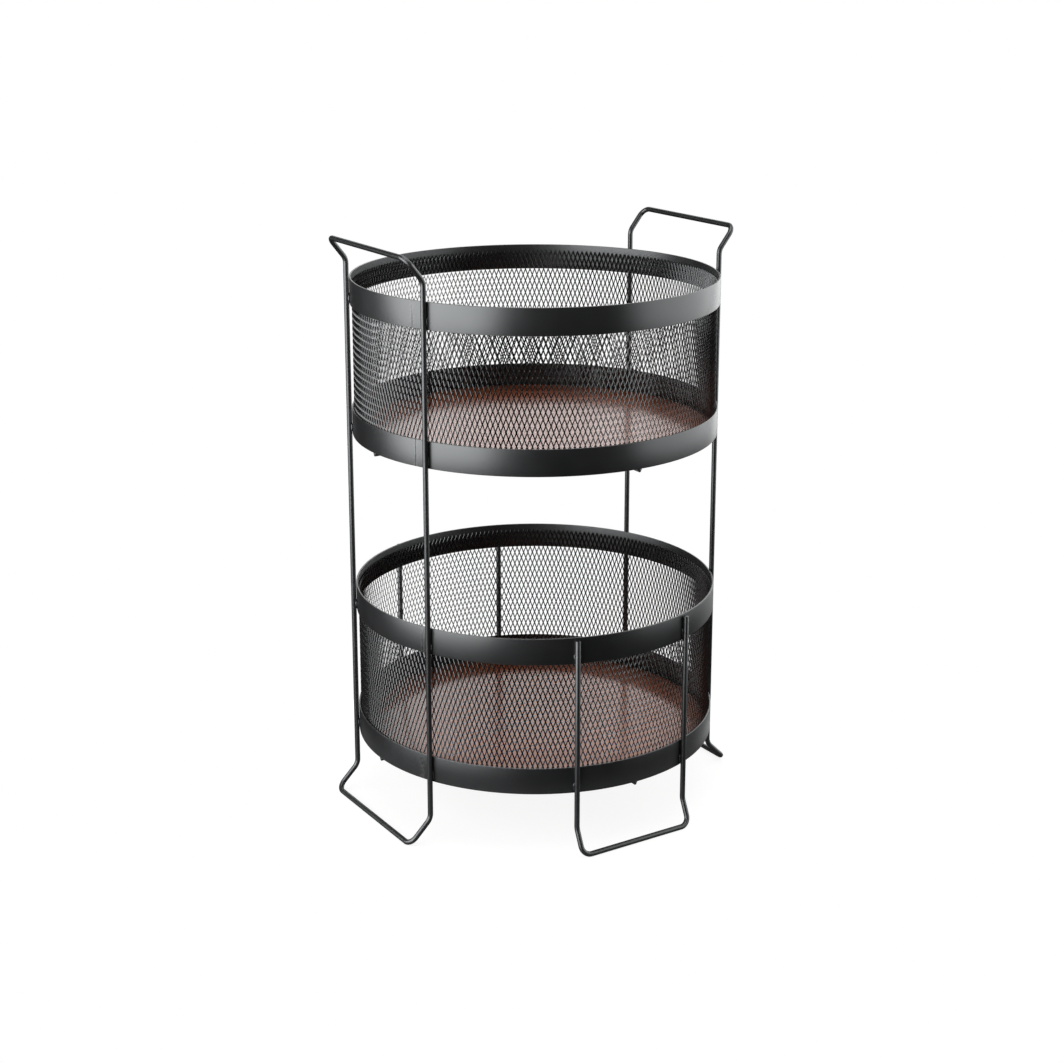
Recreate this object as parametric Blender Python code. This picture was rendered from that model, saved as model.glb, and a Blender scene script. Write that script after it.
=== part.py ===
"""Two-tier vegetable rack.

Two round baskets of expanded metal stand one above the other. Each wall is a drum of diamond
mesh inside a top band and a bottom band of steel strip. Two closed wire frames at the sides
carry both baskets and end in the handles and two feet. Two shorter wire feet stand at the
front and the back of the lower basket. A loose board lies on two crossed wires in each basket.

X runs from side frame to side frame, Y from front to back and Z up, with the floor at zero.
"""
import math

import bmesh
import bpy
from mathutils import Matrix, Vector

# Clearance left between neighbouring pieces
fit_gap = 0.0003

# Bands of flat steel strip
band_outer_radius = 0.174
band_thickness = 0.0015
band_height = 0.025

# Baskets
basket_height = 0.150
tier_gap = 0.150
ground_clearance = 0.060

# Expanded metal walls, with fewer and larger diamonds than the real sheet but the same open share
mesh_thickness = 0.0012
mesh_top_margin = 0.0055
mesh_bottom_margin = 0.0045
mesh_columns = 36
mesh_knot_rows = 6
mesh_knot_width = 0.0054
mesh_knot_height = 0.0084

# Base boards
board_thickness = 0.003
board_side_clearance = 0.0015

# Cross wires under the boards
cross_wire_radius = 0.0015
cross_wire_inset = 0.0006
crossing_flat = 0.005
crossing_ramp = 0.005
crossing_bend_radius = 0.0045

# Wire of the side frames and feet
wire_radius = 0.0025
corner_bend_radius = 0.009
post_bend_radius = 0.012

# Side frames
side_post_spacing = 0.146
handle_bend_height = 0.018
handle_bar_height = 0.0395
handle_reach = 0.017
side_foot_bend_height = 0.0215
side_foot_reach = 0.022

# Front and rear feet
foot_leg_spacing = 0.120
foot_leg_top_drop = 0.002
foot_bend_height = 0.0235
foot_reach = 0.011

# Weld beads where a wire crosses a band
weld_rise = 0.006
weld_width = 0.0066
weld_height = 0.008
weld_depth = 0.0036

# Counts of facets
wire_sides = 8
bend_steps = 3
corner_steps = 4
crossing_steps = 2
weld_sides = 6
weld_rings = 4
round_steps = 2 * mesh_columns
smooth_angle = math.radians(50)
full_turn = 2 * math.pi

# Levels and radii that follow
lower_basket_z = ground_clearance
upper_basket_z = lower_basket_z + basket_height + tier_gap
lower_rim_z = lower_basket_z + basket_height
upper_rim_z = upper_basket_z + basket_height
top_band_rise = basket_height - band_height
band_inner_radius = band_outer_radius - band_thickness
mesh_outer_radius = band_inner_radius - fit_gap
mesh_inner_radius = mesh_outer_radius - mesh_thickness
board_radius = mesh_inner_radius - board_side_clearance
cross_wire_reach = band_outer_radius - cross_wire_inset
post_radius = band_outer_radius + fit_gap + wire_radius
floor_bar_z = wire_radius * math.cos(math.pi / wire_sides)

# Finishes: colour, roughness and metallic value
black_powder_coat = ((0.018, 0.018, 0.020, 1.0), 0.42, 0.0)
brown_laminate = ((0.145, 0.050, 0.028, 1.0), 0.12, 0.0)


def clear_scene():
    for obj in list(bpy.data.objects):
        bpy.data.objects.remove(obj, do_unlink=True)


def make_material(name, finish):
    colour, roughness, metallic = finish
    material = bpy.data.materials.new(name + "_finish")
    material.use_nodes = True
    shader = material.node_tree.nodes["Principled BSDF"]
    shader.inputs["Base Color"].default_value = colour
    shader.inputs["Roughness"].default_value = roughness
    shader.inputs["Metallic"].default_value = metallic
    material.diffuse_color = colour
    return material


def add_object(name, mesh, parent=None, location=(0, 0, 0), turn=0):
    obj = bpy.data.objects.new(name, mesh)
    obj.parent = parent
    obj.location = location
    obj.rotation_euler = (0, 0, turn)
    bpy.context.scene.collection.objects.link(obj)
    return obj


def add_piece(name, bm, finish, parent=None, location=(0, 0, 0), turn=0):
    """Turn a closed bmesh into a named sub-part with a finish of its own."""
    obj = add_object(name, mesh_from(name, bm), parent, location, turn)
    obj.data.materials.append(make_material(name, finish))
    return obj


def add_guide(name, bm):
    """A shape that only cuts or joins another one."""
    obj = add_object(name, mesh_from(name, bm))
    obj.hide_render = True
    obj.display_type = "WIRE"
    return obj


def mesh_from(name, bm):
    bmesh.ops.recalc_face_normals(bm, faces=bm.faces)
    mesh = bpy.data.meshes.new(name)
    bm.to_mesh(mesh)
    bm.free()
    mesh.shade_smooth()
    mesh.set_sharp_from_angle(angle=smooth_angle)
    return mesh


def add_boolean(obj, other, operation):
    modifier = obj.modifiers.new(operation.lower(), "BOOLEAN")
    modifier.operation = operation
    modifier.solver = "EXACT"
    modifier.object = other


def on_circle(radius, angle, z=0):
    return Vector((radius * math.cos(angle), radius * math.sin(angle), z))


def skin_rings(rings, closed):
    """Join rings of points with quads. The ends of an open run are capped."""
    bm = bmesh.new()
    loops = [[bm.verts.new(point) for point in ring] for ring in rings]
    count = len(rings[0])
    spans = len(loops) if closed else len(loops) - 1
    for index in range(spans):
        here = loops[index]
        there = loops[(index + 1) % len(loops)]
        for side in range(count):
            after = (side + 1) % count
            bm.faces.new((here[side], here[after], there[after], there[side]))
    if not closed:
        bm.faces.new(loops[0])
        bm.faces.new(loops[-1])
    return bm


def round_plate(radius, bottom, top):
    angles = [step * full_turn / round_steps for step in range(round_steps)]
    rings = [[on_circle(radius, angle, z) for angle in angles] for z in (bottom, top)]
    return skin_rings(rings, closed=False)


def band_ring():
    """A strip bent to a ring: its section is carried round the axis."""
    section = (
        (band_outer_radius, 0),
        (band_outer_radius, band_height),
        (band_inner_radius, band_height),
        (band_inner_radius, 0),
    )
    rings = []
    for step in range(round_steps):
        angle = step * full_turn / round_steps
        rings.append([on_circle(radius, angle, z) for radius, z in section])
    return skin_rings(rings, closed=True)


def knot_corners(bm, column, row):
    """The left, lower, right and upper corner of one knot, on the outer and the inner face."""
    row_step = (mesh_height() - mesh_knot_height) / (mesh_knot_rows - 1)
    z = mesh_bottom_margin + mesh_knot_height / 2 + row * row_step
    angle = column * full_turn / (2 * mesh_columns)
    half_angle = mesh_knot_width / 2 / mesh_outer_radius
    half_height = mesh_knot_height / 2
    places = (
        (angle - half_angle, z),
        (angle, z - half_height),
        (angle + half_angle, z),
        (angle, z + half_height),
    )
    outer = [bm.verts.new(on_circle(mesh_outer_radius, a, height)) for a, height in places]
    inner = [bm.verts.new(on_circle(mesh_inner_radius, a, height)) for a, height in places]
    return outer, inner


def mesh_height():
    return basket_height - mesh_top_margin - mesh_bottom_margin


def strand_outlines(knots):
    """Each knot's own quad, and the quads of the two strands that rise from it."""
    left, lower, right, upper = range(4)
    half_columns = 2 * mesh_columns
    for (column, row), knot in knots.items():
        yield [(knot, corner) for corner in range(4)]
        if row + 1 == mesh_knot_rows:
            continue
        rising = knots[((column + 1) % half_columns, row + 1)]
        leaning = knots[((column - 1) % half_columns, row + 1)]
        yield [(knot, right), (rising, lower), (rising, left), (knot, upper)]
        yield [(knot, upper), (leaning, right), (leaning, lower), (knot, left)]


def expanded_metal():
    """A drum of diamonds: knots in staggered rows, each tied to two knots of the next row."""
    bm = bmesh.new()
    knots = {}
    for row in range(mesh_knot_rows):
        for column in range(row % 2, 2 * mesh_columns, 2):
            knots[(column, row)] = knot_corners(bm, column, row)
    for outline in strand_outlines(knots):
        bm.faces.new([knot[0][corner] for knot, corner in outline])
    inner_of = {}
    for outer, inner in knots.values():
        inner_of.update(zip(outer, inner))
    open_edges = [edge for edge in bm.edges if edge.is_boundary]
    for outline in strand_outlines(knots):
        bm.faces.new([knot[1][corner] for knot, corner in reversed(outline)])
    for edge in open_edges:
        first, second = edge.verts
        bm.faces.new((first, second, inner_of[second], inner_of[first]))
    return bm


def rounded_path(corners, radii, steps, closed):
    """Points and directions along straight runs whose corners are bent to the given radii."""
    path = []
    count = len(corners)
    for index, corner in enumerate(corners):
        is_end = not closed and index in (0, count - 1)
        if is_end:
            other = corners[1] if index == 0 else corners[-2]
            direction = (other - corner) if index == 0 else (corner - other)
            path.append((corner, direction.normalized()))
            continue
        before = (corner - corners[index - 1]).normalized()
        after = (corners[(index + 1) % count] - corner).normalized()
        path.extend(bend(corner, before, after, radii[index], steps[index]))
    return path


def bend(corner, before, after, radius, steps):
    """One corner as an arc that leaves both straight runs along their own directions."""
    turn = before.angle(after)
    axis = before.cross(after).normalized()
    inward = axis.cross(before)
    centre = corner - before * (radius * math.tan(turn / 2)) + inward * radius
    sections = []
    for step in range(steps + 1):
        rotation = Matrix.Rotation(turn * step / steps, 3, axis)
        sections.append((centre - rotation @ inward * radius, rotation @ before))
    return sections


def section_sides(path):
    """Carry one side of the wire along its path, upright where the path lies lowest."""
    anchor = min(range(len(path)), key=lambda index: path[index][0].z)
    sides = {anchor: Vector((0, 0, 1))}
    onward = [(index, index - 1) for index in range(anchor + 1, len(path))]
    backward = [(index, index + 1) for index in range(anchor - 1, -1, -1)]
    for index, neighbour in onward + backward:
        turn = path[neighbour][1].rotation_difference(path[index][1])
        sides[index] = turn @ sides[neighbour]
    return sides


def wire_along(path, radius, closed):
    """A round wire swept along a path, with a flat facet under its lowest run."""
    sides = section_sides(path)
    rings = []
    for index, (centre, direction) in enumerate(path):
        up = sides[index]
        across = direction.cross(up)
        ring = []
        for corner in range(wire_sides):
            angle = (corner + 0.5) * full_turn / wire_sides
            ring.append(centre + (up * math.cos(angle) + across * math.sin(angle)) * radius)
        rings.append(ring)
    return skin_rings(rings, closed)


def side_frame_path():
    """The closed loop of the side frame that stands at +X."""
    half = side_post_spacing / 2
    post_x = math.sqrt(post_radius ** 2 - half ** 2)
    side = (
        (post_x + side_foot_reach, floor_bar_z, corner_bend_radius, corner_steps),
        (post_x, floor_bar_z + side_foot_bend_height, post_bend_radius, bend_steps),
        (post_x, upper_rim_z + handle_bend_height, post_bend_radius, bend_steps),
        (post_x + handle_reach, upper_rim_z + handle_bar_height, corner_bend_radius, corner_steps),
    )
    corners = [Vector((x, half, z)) for x, z, _, _ in side]
    corners += [Vector((x, -half, z)) for x, z, _, _ in reversed(side)]
    radii = [radius for _, _, radius, _ in side]
    steps = [count for _, _, _, count in side]
    return rounded_path(corners, radii + radii[::-1], steps + steps[::-1], closed=True)


def foot_path():
    """The open wire of the foot that stands at -Y."""
    half = foot_leg_spacing / 2
    leg_y = -math.sqrt(post_radius ** 2 - half ** 2)
    leg = (
        (leg_y, lower_rim_z - foot_leg_top_drop, 0, 0),
        (leg_y, floor_bar_z + foot_bend_height, post_bend_radius, bend_steps),
        (leg_y - foot_reach, floor_bar_z, corner_bend_radius, corner_steps),
    )
    corners = [Vector((-half, y, z)) for y, z, _, _ in leg]
    corners += [Vector((half, y, z)) for y, z, _, _ in reversed(leg)]
    radii = [radius for _, _, radius, _ in leg]
    steps = [count for _, _, _, count in leg]
    return rounded_path(corners, radii + radii[::-1], steps + steps[::-1], closed=False)


def band_levels(basket_levels):
    return [basket_z + rise for basket_z in basket_levels for rise in (0, top_band_rise)]


def weld_beads(name, angles, basket_levels):
    """One flattened bead at each crossing, trimmed where the band stands."""
    bm = bmesh.new()
    bead_size = Vector((weld_depth, weld_width, weld_height)) / 2
    for angle in angles:
        for band_z in band_levels(basket_levels):
            place = on_circle(band_outer_radius + fit_gap, angle, band_z + weld_rise)
            turn = Matrix.Rotation(angle, 3, "Z").to_quaternion()
            bmesh.ops.create_uvsphere(
                bm,
                u_segments=weld_sides,
                v_segments=weld_rings,
                radius=1,
                matrix=Matrix.LocRotScale(place, turn, bead_size),
            )
    beads = add_guide(name + "_beads", bm)
    plug = round_plate(band_outer_radius + fit_gap, lower_basket_z, upper_rim_z)
    add_boolean(beads, add_guide(name + "_bead_trim", plug), "DIFFERENCE")
    return beads


def build_side_frames():
    reach = math.asin(side_post_spacing / 2 / post_radius)
    for name, turn in (("right_side_frame", 0), ("left_side_frame", math.pi)):
        frame = add_piece(name, wire_along(side_frame_path(), wire_radius, True),
                          black_powder_coat, turn=turn)
        angles = (turn - reach, turn + reach)
        beads = weld_beads(name, angles, (lower_basket_z, upper_basket_z))
        add_boolean(frame, beads, "UNION")


def build_feet():
    reach = math.asin(foot_leg_spacing / 2 / post_radius)
    for name, turn in (("front_foot", 0), ("rear_foot", math.pi)):
        foot = add_piece(name, wire_along(foot_path(), wire_radius, False),
                         black_powder_coat, turn=turn)
        middle = turn - math.pi / 2
        beads = weld_beads(name, (middle - reach, middle + reach), (lower_basket_z,))
        add_boolean(foot, beads, "UNION")


def cross_wire_path(dip):
    """A straight wire from band to band, or one that dips at its middle."""
    half_flat = crossing_flat / 2
    side = [(cross_wire_reach, 0, 0, 0)]
    if dip:
        side.append((half_flat + crossing_ramp, 0, crossing_bend_radius, crossing_steps))
        side.append((half_flat, -dip, crossing_bend_radius, crossing_steps))
    corners = [Vector((-x, 0, z)) for x, z, _, _ in side]
    corners += [Vector((x, 0, z)) for x, z, _, _ in reversed(side)]
    radii = [radius for _, _, radius, _ in side]
    steps = [count for _, _, _, count in side]
    return rounded_path(corners, radii + radii[::-1], steps + steps[::-1], closed=False)


def build_cross_wires(tier, basket):
    """A straight wire from side to side, and one from front to back that passes under it."""
    seat_z = -fit_gap - cross_wire_radius
    dip = 2 * cross_wire_radius + fit_gap
    for name, sink, turn in (("straight", 0, 0), ("bowed", dip, math.pi / 2)):
        wire = wire_along(cross_wire_path(sink), cross_wire_radius, False)
        add_piece(tier + "_" + name + "_cross_wire", wire, black_powder_coat, basket,
                  (0, 0, seat_z), turn)


def build_basket(tier, basket_z):
    basket = add_object(tier + "_basket", None, location=(0, 0, basket_z))
    add_piece(tier + "_bottom_band", band_ring(), black_powder_coat, basket)
    add_piece(tier + "_top_band", band_ring(), black_powder_coat, basket, (0, 0, top_band_rise))
    add_piece(tier + "_mesh_wall", expanded_metal(), black_powder_coat, basket)
    board = round_plate(board_radius, 0, board_thickness)
    add_piece(tier + "_base_board", board, brown_laminate, basket)
    build_cross_wires(tier, basket)


def build_rack():
    clear_scene()
    build_basket("lower", lower_basket_z)
    build_basket("upper", upper_basket_z)
    build_side_frames()
    build_feet()


build_rack()
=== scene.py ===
import math

import bmesh
import bpy
import numpy as np
from mathutils import Matrix, Vector, noise


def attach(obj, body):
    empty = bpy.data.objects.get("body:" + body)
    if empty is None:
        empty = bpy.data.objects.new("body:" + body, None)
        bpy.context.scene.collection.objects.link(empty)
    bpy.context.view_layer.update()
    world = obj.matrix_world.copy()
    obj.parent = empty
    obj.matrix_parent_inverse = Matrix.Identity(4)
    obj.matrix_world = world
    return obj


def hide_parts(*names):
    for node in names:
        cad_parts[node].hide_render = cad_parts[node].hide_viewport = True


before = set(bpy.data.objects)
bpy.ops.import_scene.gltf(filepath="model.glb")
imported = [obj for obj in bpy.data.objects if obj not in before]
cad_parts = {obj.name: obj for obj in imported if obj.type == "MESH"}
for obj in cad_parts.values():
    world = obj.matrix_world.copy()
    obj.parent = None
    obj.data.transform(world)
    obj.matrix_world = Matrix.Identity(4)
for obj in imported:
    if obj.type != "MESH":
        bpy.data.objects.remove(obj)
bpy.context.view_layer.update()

# Sizes, as in the part
fit_gap = 0.0003
band_outer_radius = 0.174
band_thickness = 0.0015
band_height = 0.025
basket_height = 0.150
lower_basket_z = 0.060
upper_basket_z = 0.360
lower_rim_z = lower_basket_z + basket_height
upper_rim_z = upper_basket_z + basket_height
mesh_top_margin = 0.0055
mesh_bottom_margin = 0.0010
board_thickness = 0.003
board_radius = 0.1695
cross_wire_radius = 0.0015
cross_wire_reach = 0.1734
crossing_flat = 0.005
crossing_ramp = 0.005
crossing_bend_radius = 0.0045
wire_radius = 0.0025
corner_bend_radius = 0.009
post_bend_radius = 0.012
side_post_spacing = 0.146
handle_bend_height = 0.018
handle_bar_height = 0.0395
handle_reach = 0.017
side_foot_bend_height = 0.0215
side_foot_reach = 0.022
foot_leg_spacing = 0.120
foot_leg_top_drop = 0.002
foot_bend_height = 0.0235
foot_reach = 0.011
weld_rise = 0.006
band_inner_radius = band_outer_radius - band_thickness
mesh_outer_radius = band_inner_radius - fit_gap
post_radius = band_outer_radius + fit_gap + wire_radius
# The part's wires have eight flats, so a round one of the same radius stands this much prouder
facet_loss = wire_radius * (1 - math.cos(math.pi / 8))

# Finer detail of the real object
knot_corners = 4
mesh_columns = 231
mesh_knot_rows = 24
mesh_strand_width = 0.00083
mesh_sheet_thickness = 0.00050
mesh_turn = math.radians(37)
mesh_wave = 0.00035
mesh_slip = 0.0002
strand_rounding = math.radians(30)
selvage_foot = 0.0002
selvage_top = 0.0028
selvage_depth = 0.0022
band_steps = 288
band_edge_steps = 4
band_edge_radius = 0.0004
seam_spring = 0.00018
seam_spring_length = 0.006
# For each seam its angle in degrees, and for shares of the band's height the width of the gap
band_seams = {
    "upper_top_band": (-160.6, ((0, 0.0007), (0.45, 0.00035), (0.62, 0.00006), (1, 0.00004))),
    "upper_bottom_band": (-160.0, ((0, 0.0005), (0.4, 0.00035), (0.55, 0.0006), (1, 0.0005))),
    "lower_top_band": (-158.5, ((0, 0.0006), (0.5, 0.0003), (0.7, 0.00006), (1, 0.00004))),
    "lower_bottom_band": (-159.3, ((0, 0.0004), (0.5, 0.0003), (1, 0.0003))),
}
wire_sides = 20
bend_steps = 12
crossing_bend_steps = 6
# The broken edge at a cut end: its length as a share of the wire's radius, then for shares
# of that length the share of the radius that is left
wire_end_break_share = 0.22
wire_end_shares = ((0.0, 0.78), (0.3, 0.93), (1.0, 1.0))
bead_subdivisions = 3
bead_ripple = 0.06
bead_ripple_turns = 9
bead_lump = 0.16
bead_lump_scale = 1.7
post_bead_size = (0.0011, 0.0016, 0.0042)
post_bead_width_spread = 0.0002
post_bead_height_spread = 0.0008
post_bead_out = 0.0007
post_bead_beside = 0.0019
post_bead_seed_step = 1.37
cross_bead_size = (0.0012, 0.0024, 0.0011)
cross_bead_in = 0.0014
cross_bead_down = 0.0009
board_steps = 192
board_soft_edge = 0.0005
board_inner_rings = (0.060, 0.120)
smooth_angle = math.radians(40)
full_turn = 2 * math.pi

# Colours and looks
coat_colour = (0.0066, 0.0066, 0.0072)
mesh_coat_colour = (0.0056, 0.0054, 0.0056)
coat_tint = (0.95, 0.985, 1.0, 1.0)
coat_lightest = 1.25
coat_darkest = 0.8
rubbed_colour = (0.075, 0.072, 0.068, 1.0)
rubbed_most = 0.75
grain_dark = (0.225, 0.055, 0.017, 1.0)
grain_light = (0.360, 0.092, 0.031, 1.0)
grain_cloud = (0.288, 0.072, 0.024, 1.0)
grain_stretch = (3.5, 70.0, 1.0)
core_dark = (0.060, 0.030, 0.018, 1.0)
core_light = (0.120, 0.066, 0.038, 1.0)
clear_layer_ior = 1.6

# Stage, light and camera
white = (1.0, 1.0, 1.0, 1.0)
room_light = 0.30
dark_studio = 0.015
backdrop_direction = (0.82, 0.47, 0.33)
floor_radius = 0.28
floor_steps = 96
floor_inner_rings = (0.02, 0.12, 0.2, 0.24)
floor_grey = 0.16
floor_glow = 0.87
floor_glow_rim = 0.20
floor_rim = floor_radius - 0.01
floor_backdrop_direction = (0.866, 0.5, 0.0)
# Name, azimuth, elevation, distance, width, height, how bright it looks, height aimed at
soft_boxes = (
    ("left_box", 180, 18, 1.2, 1.62, 1.15, 3.8, 0.08),
    ("right_box", -25, 18, 1.3, 1.9, 1.15, 1.6, 0.10),
    ("back_box", 58, 22, 1.9, 2.0, 0.8, 0.85, 0.30),
    ("rim_box", 26, 2, 2.2, 0.6, 1.3, 2.2, 0.30),
    ("top_box", -100, 80, 1.5, 1.4, 1.4, 2.0, 0.30),
)
camera_sensor_width = 36.0
camera_lens = 64.97
camera_shift_y = -0.09548
camera_place = (-0.95707, -1.50269, 0.81745)
camera_target = (-0.00269, 0.00171, 0.35771)


class Shells:
    """Points and faces of one or more closed shells that make one piece."""

    def __init__(self):
        self.points = []
        self.faces = []
        self.slots = []
        self.worn = []

    def add(self, points, faces, slot=0, worn=None):
        start = len(self.points)
        self.points.extend(tuple(point) for point in points)
        self.faces.extend(tuple(start + index for index in face) for face in faces)
        self.slots.extend([slot] * len(faces))
        self.worn.extend(worn if worn is not None else [0.0] * len(points))


def on_circle(radius, angle, z=0.0):
    return Vector((radius * math.cos(angle), radius * math.sin(angle), z))


def add_piece(name, shells, materials, node, body):
    """Make a mesh object from shells, attach it to its body, and hide the CAD node that it stands
    for.
    """
    mesh = bpy.data.meshes.new(name)
    mesh.from_pydata(shells.points, [], shells.faces)
    for material in materials:
        mesh.materials.append(material)
    mesh.polygons.foreach_set("material_index", shells.slots)
    bm = bmesh.new()
    bm.from_mesh(mesh)
    bmesh.ops.recalc_face_normals(bm, faces=bm.faces)
    bm.to_mesh(mesh)
    bm.free()
    worn = mesh.attributes.new("worn", "FLOAT", "POINT")
    worn.data.foreach_set("value", shells.worn)
    mesh.shade_smooth()
    mesh.set_sharp_from_angle(angle=smooth_angle)
    obj = bpy.data.objects.new(name, mesh)
    bpy.context.scene.collection.objects.link(obj)
    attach(obj, body)
    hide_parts(node)
    return obj


def skin_rings(rings, closed):
    """Points and quads that join rings of points. The ends of an open run are capped."""
    points = [point for ring in rings for point in ring]
    count = len(rings[0])
    spans = len(rings) if closed else len(rings) - 1
    faces = []
    for index in range(spans):
        here = index * count
        there = (index + 1) % len(rings) * count
        for side in range(count):
            after = (side + 1) % count
            faces.append((here + side, here + after, there + after, there + side))
    if not closed:
        faces.append(tuple(range(count)))
        faces.append(tuple(range(len(points) - count, len(points))))
    return points, faces


def bend(corner, before, after, radius, steps):
    """Points and directions along the arc that rounds one corner."""
    turn = before.angle(after)
    axis = before.cross(after).normalized()
    inward = axis.cross(before)
    centre = corner - before * (radius * math.tan(turn / 2)) + inward * radius
    path = []
    for step in range(steps + 1):
        rotation = Matrix.Rotation(turn * step / steps, 3, axis)
        path.append((centre - rotation @ inward * radius, rotation @ before))
    return path


def rounded_path(corners, radii, closed, steps=bend_steps):
    """Points and directions along a line with rounded corners."""
    path = []
    count = len(corners)
    for index, corner in enumerate(corners):
        if not closed and index in (0, count - 1):
            other = corners[1] if index == 0 else corners[-2]
            direction = (other - corner) if index == 0 else (corner - other)
            path.append((corner, direction.normalized()))
            continue
        before = (corner - corners[index - 1]).normalized()
        after = (corners[(index + 1) % count] - corner).normalized()
        path.extend(bend(corner, before, after, radii[index], steps))
    return path


def wire_rings(path, radius, closed):
    """Rings of a round wire. The ends of an open one are cut with a slightly broken edge."""
    # The rings are upright at the wire's lowest point, and from there turn only as the wire does
    anchor = min(range(len(path)), key=lambda index: path[index][0].z)
    ups = {anchor: Vector((0, 0, 1))}
    onward = [(index, index - 1) for index in range(anchor + 1, len(path))]
    backward = [(index, index + 1) for index in range(anchor - 1, -1, -1)]
    for index, neighbour in onward + backward:
        turn = path[neighbour][1].rotation_difference(path[index][1])
        ups[index] = turn @ ups[neighbour]
    stations = [(path[i][0], path[i][1], ups[i], 1.0) for i in range(len(path))]
    if not closed:
        broken = radius * wire_end_break_share
        ends = []
        for (place, direction, up, _), inward in ((stations[0], broken), (stations[-1], -broken)):
            ends.append([(place + direction * inward * along, direction, up, share)
                         for along, share in wire_end_shares])
        stations = ends[0] + stations[1:-1] + ends[1][::-1]
    rings = []
    for place, direction, up, share in stations:
        across = direction.cross(up)
        ring = []
        for side in range(wire_sides):
            angle = side * full_turn / wire_sides
            ring.append(place + (up * math.cos(angle) + across * math.sin(angle)) * radius * share)
        rings.append(ring)
    return rings


def weld_bead(shells, place, turn, size, seed):
    """A lump of weld metal: a flattened ball with ripples across it."""
    bm = bmesh.new()
    bmesh.ops.create_icosphere(bm, subdivisions=bead_subdivisions, radius=1)
    points = []
    for vert in bm.verts:
        co = vert.co.copy()
        ripple = bead_ripple * math.sin(bead_ripple_turns * co.z + seed)
        lump = bead_lump * noise.noise(co * bead_lump_scale + Vector((seed, 2 * seed, 3 * seed)))
        co *= 1 + ripple + lump
        local = Vector((co.x * size[0], co.y * size[1], co.z * size[2]))
        points.append(place + turn @ local)
    faces = [[vert.index for vert in face.verts] for face in bm.faces]
    shells.add(points, faces)
    bm.free()


def band_profile():
    """The strip's section with broken edges: radius, height and how much of an edge a point is."""
    e = band_edge_radius
    corners = (
        (band_outer_radius - e, e, -90, 0),
        (band_outer_radius - e, band_height - e, 0, 90),
        (band_inner_radius + e, band_height - e, 90, 180),
        (band_inner_radius + e, e, 180, 270),
    )
    profile = []
    for radius, z, first, last in corners:
        for step in range(band_edge_steps + 1):
            angle = math.radians(first + (last - first) * step / band_edge_steps)
            edge = 1.0 if 0 < step < band_edge_steps else 0.0
            profile.append((radius + e * math.cos(angle), z + e * math.sin(angle), edge))
    return profile


def band_shell(shells, base_z, seam_angle, gaps):
    """One strip rolled to a ring. Its ends meet at a seam with a gap that varies in height."""
    profile = band_profile()
    levels = [level * band_height for level, _ in gaps]
    widths = [width for _, width in gaps]
    rings = []
    worn = []
    for step in range(band_steps + 1):
        share = step / band_steps
        ring = []
        for radius, z, edge in profile:
            half_gap = float(np.interp(z, levels, widths)) / 2 / band_outer_radius
            angle = seam_angle + half_gap + share * (full_turn - 2 * half_gap)
            from_end = min(share, 1 - share) * full_turn * band_outer_radius
            spring = seam_spring * math.exp(-((from_end / seam_spring_length) ** 2))
            ring.append(on_circle(radius - spring, angle, base_z + z))
            worn.append(edge if 0 < step < band_steps else 1.0)
        rings.append(ring)
    points, faces = skin_rings(rings, closed=False)
    shells.add(points, faces, worn=worn)


def wall_point(angle, z, sink, inner, base_z, phase):
    """A point of the wall on its outer or inner face, with the slight waves of a thin sheet."""
    height = basket_height - mesh_top_margin - mesh_bottom_margin
    rise = (z - mesh_bottom_margin) / height
    belly = math.sin(math.pi * min(max(rise, 0), 1))
    wave = 0.5 + 0.3 * math.sin(3 * angle + phase) + 0.2 * math.sin(7 * angle - 2 * phase)
    radius = mesh_outer_radius - sink - mesh_wave * belly * wave
    slip = mesh_slip * math.sin(11 * angle + phase) * belly
    if inner:
        radius -= mesh_sheet_thickness * math.cos(mesh_turn)
        slip -= mesh_sheet_thickness * math.sin(mesh_turn)
    return on_circle(radius, angle + slip / mesh_outer_radius, base_z + z)


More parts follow.
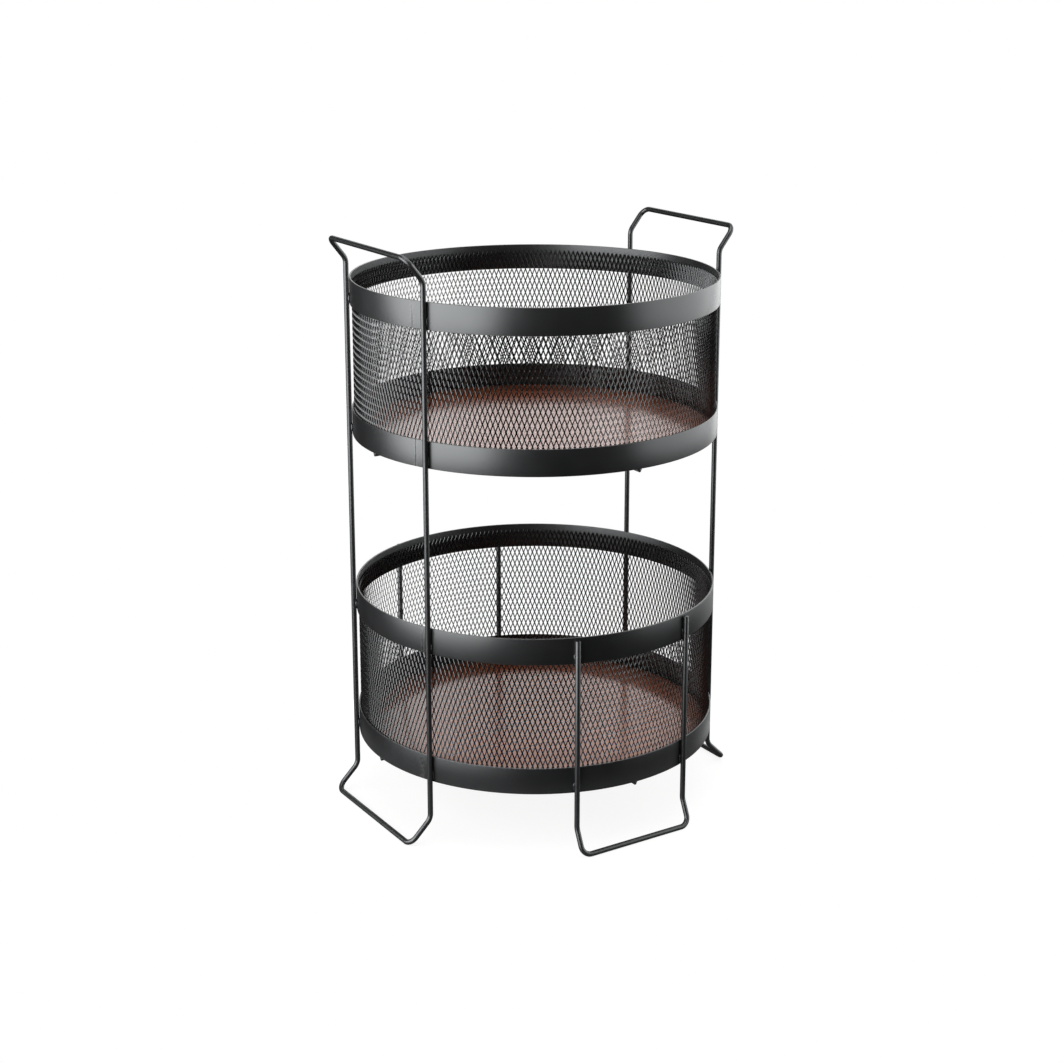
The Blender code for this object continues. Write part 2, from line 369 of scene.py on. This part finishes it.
def expanded_metal(shells, base_z, phase):
    """A drum of diamonds: knots in staggered rows, each tied to two knots of the next row.

    As in any expanded sheet that isn't rolled flat, the strands stand turned like louvres.
    Gives the number of outer faces, which come first.
    """
    half_columns = 2 * mesh_columns
    height = basket_height - mesh_top_margin - mesh_bottom_margin
    half_pitch = math.pi * mesh_outer_radius / mesh_columns
    lean = math.atan(half_pitch * (mesh_knot_rows - 1) / height)
    knot_width = mesh_strand_width / math.cos(lean)
    knot_height = mesh_strand_width / math.sin(lean)
    row_step = (height - knot_height) / (mesh_knot_rows - 1)
    half_angle = knot_width / 2 / mesh_outer_radius
    strand_depth = mesh_strand_width * math.tan(mesh_turn)
    points = []
    knots = {}
    for row in range(mesh_knot_rows):
        z = mesh_bottom_margin + knot_height / 2 + row * row_step
        for column in range(row % 2, half_columns, 2):
            angle = column * full_turn / half_columns
            places = (
                (angle - half_angle, z, 0.0),
                (angle, z - knot_height / 2, strand_depth),
                (angle + half_angle, z, 2 * strand_depth),
                (angle, z + knot_height / 2, strand_depth),
            )
            knots[(column, row)] = len(points)
            for inner in (False, True):
                points.extend(wall_point(*place, inner, base_z, phase) for place in places)
    left, lower, right, upper = range(knot_corners)
    outlines = []
    for (column, row), knot in knots.items():
        outlines.append([knot + corner for corner in range(knot_corners)])
        if row + 1 < mesh_knot_rows:
            rising = knots[((column + 1) % half_columns, row + 1)]
            leaning = knots[((column - 1) % half_columns, row + 1)]
            outlines.append([knot + right, rising + lower, rising + left, knot + upper])
            outlines.append([knot + upper, leaning + right, leaning + lower, knot + left])
    counted = {}
    for outline in outlines:
        for first, second in zip(outline, outline[1:] + outline[:1]):
            key = (min(first, second), max(first, second))
            counted[key] = counted.get(key, 0) + 1
    faces = list(outlines)
    faces += [[index + knot_corners for index in reversed(outline)] for outline in outlines]
    for (first, second), uses in counted.items():
        if uses == 1:
            faces.append((first, second, second + knot_corners, first + knot_corners))
    shells.add(points, faces)
    return len(outlines)


def round_strands(mesh, strand_faces):
    """Shade each strand's outer face as curved towards its proud edge, as a sheared strand is."""
    normals = np.zeros(3 * len(mesh.loops))
    mesh.corner_normals.foreach_get("vector", normals)
    normals = normals.reshape(-1, 3)
    places = np.zeros(3 * len(mesh.vertices))
    mesh.vertices.foreach_get("co", places)
    places = places.reshape(-1, 3)
    knot_points = 2 * knot_corners
    depths = (0, 1, 2, 1)
    for face in mesh.polygons:
        corners = list(face.vertices)
        owners = sorted({corner // knot_points for corner in corners})
        if face.index >= strand_faces or len(owners) != 2:
            continue
        ends = []
        for owner in owners:
            pair = [corner for corner in corners if corner // knot_points == owner]
            ends.append(sorted(pair, key=lambda corner: depths[corner % knot_corners]))
        (proud, sunk), (other_proud, other_sunk) = ends
        across = places[proud] + places[other_proud] - places[sunk] - places[other_sunk]
        along = places[proud] + places[sunk] - places[other_proud] - places[other_sunk]
        along /= np.linalg.norm(along)
        across -= along * across.dot(along)
        across /= np.linalg.norm(across)
        flat = np.array(face.normal)
        lean = flat * math.cos(strand_rounding) + across * math.sin(strand_rounding)
        for loop, corner in zip(face.loop_indices, corners):
            normals[loop] = lean if corner in (proud, other_proud) else flat
    mesh.normals_split_custom_set(normals.tolist())


def selvage(shells, base_z):
    """The solid edge along the sheet's foot. It lies beside the board, below its upper face."""
    outside = mesh_outer_radius
    inside = mesh_outer_radius - selvage_depth
    outline = ((outside, selvage_foot), (outside, selvage_top),
               (inside, selvage_top), (inside, selvage_foot))
    steps = 2 * mesh_columns
    rings = []
    for k in range(steps):
        angle = k * full_turn / steps
        rings.append([on_circle(radius, angle, base_z + z) for radius, z in outline])
    shells.add(*skin_rings(rings, closed=True))


def side_frame_path(sign):
    half = side_post_spacing / 2
    post_x = math.sqrt(post_radius ** 2 - half ** 2)
    side = (
        (post_x + side_foot_reach - facet_loss, wire_radius, corner_bend_radius),
        (post_x, wire_radius + side_foot_bend_height - facet_loss, post_bend_radius),
        (post_x, upper_rim_z + handle_bend_height, post_bend_radius),
        (post_x + handle_reach, upper_rim_z + handle_bar_height - facet_loss, corner_bend_radius),
    )
    corners = [Vector((sign * x, sign * half, z)) for x, z, _ in side]
    corners += [Vector((sign * x, -sign * half, z)) for x, z, _ in reversed(side)]
    radii = [radius for _, _, radius in side]
    return rounded_path(corners, radii + radii[::-1], closed=True)


def foot_path(sign):
    half = foot_leg_spacing / 2
    leg_y = -math.sqrt(post_radius ** 2 - half ** 2)
    leg = (
        (leg_y, lower_rim_z - foot_leg_top_drop, 0),
        (leg_y, wire_radius + foot_bend_height - facet_loss, post_bend_radius),
        (leg_y - foot_reach + facet_loss, wire_radius, corner_bend_radius),
    )
    corners = [Vector((-sign * half, sign * y, z)) for y, z, _ in leg]
    corners += [Vector((sign * half, sign * y, z)) for y, z, _ in reversed(leg)]
    radii = [radius for _, _, radius in leg]
    return rounded_path(corners, radii + radii[::-1], closed=False)


def cross_wire_path(dip, seat_z, along_y):
    half_flat = crossing_flat / 2
    side = [(cross_wire_reach, 0, 0)]
    if dip:
        side.append((half_flat + crossing_ramp, 0, crossing_bend_radius))
        side.append((half_flat, -dip, crossing_bend_radius))
    corners = [(-x, z) for x, z, _ in side] + [(x, z) for x, z, _ in reversed(side)]
    places = []
    for x, z in corners:
        places.append(Vector((0, x, seat_z + z)) if along_y else Vector((x, 0, seat_z + z)))
    radii = [radius for _, _, radius in side]
    return rounded_path(places, radii + radii[::-1], closed=False, steps=crossing_bend_steps)


def post_welds(shells, angles, base_levels, seed):
    """Two small runs of weld at each crossing, one on each side of the wire."""
    for angle in angles:
        for base_z in base_levels:
            for rise in (0, basket_height - band_height):
                for side in (-1, 1):
                    seed += post_bead_seed_step
                    z = base_z + rise + weld_rise + post_bead_height_spread * math.sin(seed)
                    place = on_circle(band_outer_radius + post_bead_out, angle, z)
                    place += on_circle(post_bead_beside * side, angle + math.pi / 2)
                    turn = Matrix.Rotation(angle, 3, "Z")
                    depth, width, height = post_bead_size
                    width += post_bead_width_spread * math.sin(2 * seed)
                    weld_bead(shells, place, turn, (depth, width, height), seed)


def build_wires(coat):
    reach = math.asin(side_post_spacing / 2 / post_radius)
    for name, sign, middle in (("right_side_frame", 1, 0), ("left_side_frame", -1, math.pi)):
        shells = Shells()
        shells.add(*skin_rings(wire_rings(side_frame_path(sign), wire_radius, True), True))
        post_welds(shells, (middle - reach, middle + reach), (lower_basket_z, upper_basket_z), sign)
        add_piece(name + "_wire", shells, [coat], name, "rack")
    reach = math.asin(foot_leg_spacing / 2 / post_radius)
    for name, sign, middle in (("front_foot", 1, -math.pi / 2), ("rear_foot", -1, math.pi / 2)):
        shells = Shells()
        shells.add(*skin_rings(wire_rings(foot_path(sign), wire_radius, False), False))
        post_welds(shells, (middle - reach, middle + reach), (lower_basket_z,), 5 * sign)
        add_piece(name + "_wire", shells, [coat], name, "rack")


def build_cross_wires(tier, base_z, coat):
    seat_z = base_z - fit_gap - cross_wire_radius
    dip = 2 * cross_wire_radius + fit_gap
    for name, sink, along_y in (("straight", 0, False), ("bowed", dip, True)):
        shells = Shells()
        path = cross_wire_path(sink, seat_z, along_y)
        shells.add(*skin_rings(wire_rings(path, cross_wire_radius, False), False))
        for side in (-1, 1):
            angle = (math.pi / 2 if along_y else 0) + (math.pi if side < 0 else 0)
            place = on_circle(band_outer_radius - cross_bead_in, angle, base_z - cross_bead_down)
            turn = Matrix.Rotation(angle, 3, "Z")
            weld_bead(shells, place, turn, cross_bead_size, 7.1 * side + base_z * 9)
        node = tier + "_" + name + "_cross_wire"
        add_piece(node + "_rod", shells, [coat], node, "rack")


def board_shell(shells, base_z):
    """A round board: laminated faces, and a lighter softened rim where the core is cut."""
    soft = board_soft_edge
    half = [(radius, 0.0) for radius in board_inner_rings]
    half.append((board_radius - soft, 0.0))
    half.append((board_radius - 0.3 * soft, 0.3 * soft))
    half.append((board_radius, soft))
    profile = half + [(radius, board_thickness - z) for radius, z in reversed(half)]
    rings = []
    for radius, z in profile:
        rings.append([on_circle(radius, k * full_turn / board_steps, base_z + z)
                      for k in range(board_steps)])
    points, faces = skin_rings(rings, closed=False)
    slots = []
    for face in faces:
        heights = [points[index].z - base_z for index in face]
        slots.append(1 if 0 < sum(heights) / len(heights) < board_thickness else 0)
    shells.add(points, faces)
    shells.slots = slots


def build_baskets(coat, mesh_coat, laminate, core):
    for tier, base_z, phase in (("lower", lower_basket_z, 0.4), ("upper", upper_basket_z, 2.1)):
        for place, rise in (("bottom", 0), ("top", basket_height - band_height)):
            node = tier + "_" + place + "_band"
            shells = Shells()
            angle, gaps = band_seams[node]
            band_shell(shells, base_z + rise, math.radians(angle), gaps)
            add_piece(node + "_strip", shells, [coat], node, "rack")
        shells = Shells()
        strand_faces = expanded_metal(shells, base_z, phase)
        selvage(shells, base_z)
        node = tier + "_mesh_wall"
        sheet = add_piece(node + "_sheet", shells, [mesh_coat], node, "rack")
        round_strands(sheet.data, strand_faces)
        shells = Shells()
        board_shell(shells, base_z)
        node = tier + "_base_board"
        add_piece(node + "_panel", shells, [laminate, core], node, tier + "_board")
        build_cross_wires(tier, base_z, coat)


def new_material(name):
    material = bpy.data.materials.new(name)
    material.use_nodes = True
    tree = material.node_tree
    return material, tree, tree.nodes["Principled BSDF"]


def noise_node(tree, source, scale, detail, roughness=0.5):
    node = tree.nodes.new("ShaderNodeTexNoise")
    node.inputs["Scale"].default_value = scale
    node.inputs["Detail"].default_value = detail
    node.inputs["Roughness"].default_value = roughness
    tree.links.new(source, node.inputs["Vector"])
    return node.outputs["Fac"]


def remap(tree, source, low, high, first=0.3, last=0.7):
    node = tree.nodes.new("ShaderNodeMapRange")
    node.inputs["From Min"].default_value = first
    node.inputs["From Max"].default_value = last
    node.inputs["To Min"].default_value = low
    node.inputs["To Max"].default_value = high
    tree.links.new(source, node.inputs["Value"])
    return node.outputs["Result"]


def mix_colour(tree, factor, first, second):
    node = tree.nodes.new("ShaderNodeMix")
    node.data_type = "RGBA"
    for socket, value in ((node.inputs[6], first), (node.inputs[7], second)):
        if isinstance(value, tuple):
            socket.default_value = value
        else:
            tree.links.new(value, socket)
    tree.links.new(factor, node.inputs[0])
    return node.outputs[2]


def math_node(tree, operation, *values):
    node = tree.nodes.new("ShaderNodeMath")
    node.operation = operation
    for socket, value in zip(node.inputs, values):
        if isinstance(value, (int, float)):
            socket.default_value = value
        else:
            tree.links.new(value, socket)
    return node.outputs[0]


def dot_product(tree, source, direction):
    node = tree.nodes.new("ShaderNodeVectorMath")
    node.operation = "DOT_PRODUCT"
    node.inputs[1].default_value = direction
    tree.links.new(source, node.inputs[0])
    return node.outputs["Value"]


def add_bump(tree, shader, height, strength, distance):
    bump = tree.nodes.new("ShaderNodeBump")
    bump.inputs["Strength"].default_value = strength
    bump.inputs["Distance"].default_value = distance
    tree.links.new(height, bump.inputs["Height"])
    tree.links.new(bump.outputs["Normal"], shader.inputs["Normal"])


def powder_coat(name, colour, roughness, peel, specular):
    """Satin black powder coat: fine orange peel, patchy sheen and slightly rubbed edges."""
    material, tree, shader = new_material(name)
    place = tree.nodes.new("ShaderNodeTexCoord").outputs["Object"]
    patch = noise_node(tree, place, scale=26.0, detail=3.0)
    fine = noise_node(tree, place, scale=950.0, detail=3.0, roughness=0.55)
    grit = noise_node(tree, place, scale=420.0, detail=2.0)
    light = tuple(coat_lightest * c for c in colour) + (1.0,)
    dark = tuple(coat_darkest * c for c in colour) + (1.0,)
    coat = mix_colour(tree, remap(tree, patch, 0.0, 1.0), dark, light)
    edge = tree.nodes.new("ShaderNodeAttribute")
    edge.attribute_name = "worn"
    bare = remap(tree, grit, 0.0, rubbed_most, first=0.42, last=0.62)
    rubbed = math_node(tree, "MULTIPLY", edge.outputs["Fac"], bare)
    shader_colour = mix_colour(tree, rubbed, coat, rubbed_colour)
    tree.links.new(shader_colour, shader.inputs["Base Color"])
    sheen = remap(tree, patch, roughness - 0.02, roughness + 0.02)
    tree.links.new(sheen, shader.inputs["Roughness"])
    shader.inputs["IOR"].default_value = clear_layer_ior
    shader.inputs["Specular IOR Level"].default_value = specular
    shader.inputs["Specular Tint"].default_value = coat_tint
    add_bump(tree, shader, fine, strength=peel, distance=0.00006)
    return material


def brown_laminate(name):
    """Glossy brown laminate with a faint, long grain and light scuffs."""
    material, tree, shader = new_material(name)
    place = tree.nodes.new("ShaderNodeTexCoord").outputs["Object"]
    stretch = tree.nodes.new("ShaderNodeMapping")
    stretch.inputs["Scale"].default_value = grain_stretch
    tree.links.new(place, stretch.inputs["Vector"])
    grain = noise_node(tree, stretch.outputs["Vector"], scale=3.0, detail=5.0, roughness=0.62)
    cloud = noise_node(tree, place, scale=9.0, detail=2.0)
    vein = remap(tree, grain, 0.0, 1.0, first=0.35, last=0.68)
    veins = mix_colour(tree, vein, grain_dark, grain_light)
    colour = mix_colour(tree, remap(tree, cloud, 0.0, 0.35), veins, grain_cloud)
    tree.links.new(colour, shader.inputs["Base Color"])
    scuff = noise_node(tree, place, scale=60.0, detail=4.0, roughness=0.6)
    tree.links.new(remap(tree, scuff, 0.19, 0.25), shader.inputs["Roughness"])
    shader.inputs["Specular IOR Level"].default_value = 0.5
    shader.inputs["Coat Weight"].default_value = 1.0
    shader.inputs["Coat Roughness"].default_value = 0.18
    shader.inputs["Coat IOR"].default_value = clear_layer_ior
    add_bump(tree, shader, grain, strength=0.06, distance=0.0001)
    return material


def board_core(name):
    """The cut rim of the hardboard: fine brown fibre, matt."""
    material, tree, shader = new_material(name)
    place = tree.nodes.new("ShaderNodeTexCoord").outputs["Object"]
    fibre = noise_node(tree, place, scale=700.0, detail=4.0, roughness=0.6)
    colour = mix_colour(tree, remap(tree, fibre, 0.0, 1.0), core_dark, core_light)
    tree.links.new(colour, shader.inputs["Base Color"])
    tree.links.new(remap(tree, fibre, 0.6, 0.8), shader.inputs["Roughness"])
    add_bump(tree, shader, fibre, strength=0.35, distance=0.0002)
    return material


def white_share(tree, path, behind):
    """1 for camera and transmission rays, and for glossy rays what they meet in their direction."""
    shiny = math_node(tree, "MULTIPLY", path["Is Glossy Ray"], behind)
    plain = math_node(tree, "MAXIMUM", path["Is Camera Ray"], path["Is Transmission Ray"])
    return math_node(tree, "MAXIMUM", plain, shiny)


def build_world():
    """A white studio backdrop. Rays that only light the object find a softer room."""
    world = bpy.data.worlds.new("studio")
    bpy.context.scene.world = world
    world.use_nodes = True
    tree = world.node_tree
    background = tree.nodes["Background"]
    path = tree.nodes.new("ShaderNodeLightPath").outputs
    seen = tree.nodes.new("ShaderNodeTexCoord").outputs["Generated"]
    towards = dot_product(tree, seen, backdrop_direction)
    behind = remap(tree, towards, dark_studio, 1.0, first=0.65, last=0.92)
    backdrop = white_share(tree, path, behind)
    room = math_node(tree, "MULTIPLY", path["Is Diffuse Ray"], room_light)
    tree.links.new(math_node(tree, "MAXIMUM", backdrop, room), background.inputs["Strength"])
    background.inputs["Color"].default_value = white


def build_floor():
    """A round floor that looks white to the camera and keeps a faint shadow of the object."""
    rings = []
    for radius in floor_inner_rings + (floor_radius,):
        rings.append([on_circle(radius, k * full_turn / floor_steps) for k in range(floor_steps)])
    points, faces = skin_rings(rings, closed=False)
    faces = faces[:-1]
    mesh = bpy.data.meshes.new("floor")
    mesh.from_pydata([tuple(point) for point in points], [], faces)
    bm = bmesh.new()
    bm.from_mesh(mesh)
    for face in bm.faces:
        face.normal_update()
        if face.normal.z < 0:
            face.normal_flip()
    bm.to_mesh(mesh)
    bm.free()
    floor = bpy.data.objects.new("floor", mesh)
    bpy.context.scene.collection.objects.link(floor)
    material, tree, shader = new_material("pale_floor")
    mesh.materials.append(material)
    shader.inputs["Base Color"].default_value = (floor_grey, floor_grey, floor_grey, 1.0)
    shader.inputs["Roughness"].default_value = 0.7
    shader.inputs["Specular IOR Level"].default_value = 0.2
    place = tree.nodes.new("ShaderNodeTexCoord").outputs["Object"]
    length = tree.nodes.new("ShaderNodeVectorMath")
    length.operation = "LENGTH"
    tree.links.new(place, length.inputs[0])
    from_middle = length.outputs["Value"]
    lift = remap(tree, from_middle, floor_glow, 1.0, first=floor_glow_rim, last=floor_rim)
    path = tree.nodes.new("ShaderNodeLightPath").outputs
    towards = dot_product(tree, place, floor_backdrop_direction)
    seen = white_share(tree, path, remap(tree, towards, 0.0, 1.0, first=0.12, last=0.25))
    glow = tree.nodes.new("ShaderNodeEmission")
    glow.inputs["Color"].default_value = white
    tree.links.new(math_node(tree, "MULTIPLY", lift, seen), glow.inputs["Strength"])
    both = tree.nodes.new("ShaderNodeAddShader")
    tree.links.new(shader.outputs["BSDF"], both.inputs[0])
    tree.links.new(glow.outputs["Emission"], both.inputs[1])
    tree.links.new(both.outputs["Shader"], tree.nodes["Material Output"].inputs["Surface"])


def soft_box(name, azimuth, elevation, distance, width, height, radiance, aim_z):
    """A rectangular lamp that faces the object. Its power follows from how bright it looks."""
    aim = Vector((0, 0, aim_z))
    flat = distance * math.cos(math.radians(elevation))
    place = on_circle(flat, math.radians(azimuth), distance * math.sin(math.radians(elevation)))
    place += aim
    lamp = bpy.data.lights.new(name, "AREA")
    lamp.shape = "RECTANGLE"
    lamp.size = width
    lamp.size_y = height
    lamp.energy = radiance * math.pi * width * height
    obj = bpy.data.objects.new(name, lamp)
    obj.location = place
    obj.rotation_euler = (aim - place).to_track_quat("-Z", "Y").to_euler()
    obj.visible_camera = False
    bpy.context.scene.collection.objects.link(obj)


def build_camera():
    camera = bpy.data.cameras.new("camera")
    camera.sensor_fit = "HORIZONTAL"
    camera.sensor_width = camera_sensor_width
    camera.lens = camera_lens
    camera.shift_y = camera_shift_y
    obj = bpy.data.objects.new("camera", camera)
    obj.location = camera_place
    ahead = Vector(camera_target) - Vector(camera_place)
    obj.rotation_euler = ahead.to_track_quat("-Z", "Y").to_euler()
    bpy.context.scene.collection.objects.link(obj)
    bpy.context.scene.camera = obj


coat = powder_coat("satin_black_coat", coat_colour,
                   roughness=0.36, peel=0.12, specular=1.0)
mesh_coat = powder_coat("satin_black_coat_on_mesh", mesh_coat_colour,
                        roughness=0.24, peel=0.2, specular=0.82)
laminate = brown_laminate("brown_laminate")
core = board_core("board_core")
build_baskets(coat, mesh_coat, laminate, core)
build_wires(coat)
build_world()
build_floor()
for box in soft_boxes:
    soft_box(*box)
build_camera()
bpy.context.scene.view_settings.view_transform = "Standard"
